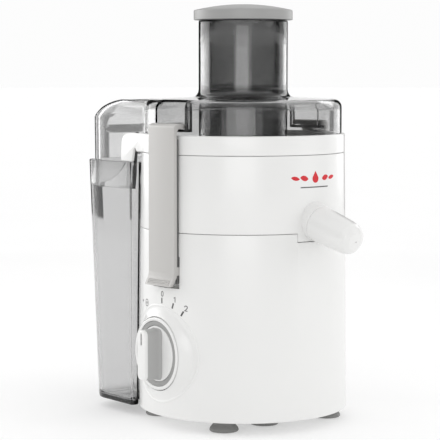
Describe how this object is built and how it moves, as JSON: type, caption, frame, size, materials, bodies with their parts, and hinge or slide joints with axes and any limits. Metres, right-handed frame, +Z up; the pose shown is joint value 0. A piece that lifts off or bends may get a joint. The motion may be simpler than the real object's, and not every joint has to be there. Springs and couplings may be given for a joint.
{
  "type": "centrifugal juicer",
  "caption": "Compact countertop centrifugal juicer with a smoke-tinted feed chute lid, rear pulp container, side clamps, rotary speed knob and angled juice spout",
  "frame": {"origin": "on the table, under the middle of the whole object's outline", "axes": "+Z up along the drive axis, -Y to the front where the spout is, the speed knob on the -X side"},
  "size_m": [0.2076, 0.2808, 0.3605],
  "materials": {
    "white_plastic": "satin moulded white",
    "clamp_plastic": "satin warm grey",
    "cap_plastic": "satin mid grey",
    "smoky_clear": "transparent smoke tint, polished",
    "foot_rubber": "matt",
    "dark_plastic": "satin black",
    "steel": "bright",
    "sieve_steel": "etched perforated sheet",
    "laminations": "stacked steel sheet",
    "copper": "enamelled copper wire",
    "carbon": "carbon block"
  },
  "bodies": {
    "base": {"base_housing": "white_plastic", "bottom_plate": "white_plastic", "juice_bowl": "white_plastic", "bowl_floor": "white_plastic", "spout_socket": "white_plastic", "pulp_collar": "white_plastic", "lid": "smoky_clear", "suction_foot_front_left": "foot_rubber", "suction_foot_front_right": "foot_rubber", "suction_foot_front_centre": "foot_rubber", "suction_foot_rear_left": "foot_rubber", "suction_foot_rear_right": "foot_rubber", "motor_mount_1": "foot_rubber", "motor_mount_2": "foot_rubber", "motor_mount_3": "foot_rubber", "motor_mount_4": "foot_rubber", "shaft_seal": "foot_rubber", "spout_seal": "foot_rubber", "cord_gland": "dark_plastic", "speed_switch": "dark_plastic", "base_screw_1": "steel", "base_screw_2": "steel", "base_screw_3": "steel", "base_screw_4": "steel", "clamp_pin_left": "steel", "clamp_pin_right": "steel", "motor_spacer_left": "steel", "motor_spacer_right": "steel", "motor_bearing_upper": "steel", "motor_bearing_lower": "steel", "motor_bracket_upper": "steel", "motor_bracket_lower": "steel", "motor_stator": "laminations", "field_winding_upper": "copper", "field_winding_lower": "copper", "carbon_brush_front": "carbon", "carbon_brush_rear": "carbon"},
    "drive": {"motor_shaft": "steel", "motor_armature": "copper", "commutator": "copper", "cooling_fan": "dark_plastic", "drive_coupling": "dark_plastic", "basket_hub": "dark_plastic", "filter_sieve": "sieve_steel", "filter_rim": "dark_plastic", "grating_disc": "steel"},
    "pusher": {"pusher_cup": "smoky_clear", "pusher_cap": "cap_plastic"},
    "knob": {"knob_dial": "white_plastic", "knob_ring": "clamp_plastic", "knob_grip": "white_plastic", "knob_shaft": "dark_plastic"},
    "left_clamp": {"clamp_left": "clamp_plastic"},
    "right_clamp": {"clamp_right": "clamp_plastic"},
    "container": {"pulp_container": "smoky_clear"},
    "outlet": {"spout": "white_plastic"}
  },
  "joints": [
    {"name": "drive_spin", "type": "hinge", "parent": "base", "child": "drive", "pos_m": [0.00499, -0.00358, 0.1], "axis": [0, 0, 1], "continuous": true},
    {"name": "pusher_slide", "type": "slide", "parent": "base", "child": "pusher", "axis": [0, 0, 1], "range_m": [0, 0.125]},
    {"name": "knob_turn", "type": "hinge", "parent": "base", "child": "knob", "pos_m": [-0.08267, 0.00409, 0.064], "axis": [0.9962, -0.0872, 0], "range_deg": [-35, 35]},
    {"name": "left_clamp_swing", "type": "hinge", "parent": "base", "child": "left_clamp", "pos_m": [-0.07951, -0.00358, 0.136], "axis": [0, -1, 0], "range_deg": [0, 22]},
    {"name": "right_clamp_swing", "type": "hinge", "parent": "base", "child": "right_clamp", "pos_m": [0.08949, -0.00358, 0.136], "axis": [0, 1, 0], "range_deg": [0, 22]},
    {"name": "container_tilt", "type": "hinge", "parent": "base", "child": "container", "pos_m": [0.00499, 0.07342, 0.224], "axis": [1, 0, 0], "range_deg": [0, 8]},
    {"name": "spout_turn", "type": "hinge", "parent": "base", "child": "outlet", "pos_m": [0.00499, -0.09288, 0.1776], "axis": [0, -0.9563, -0.2924], "range_deg": [0, 180]}
  ]
}
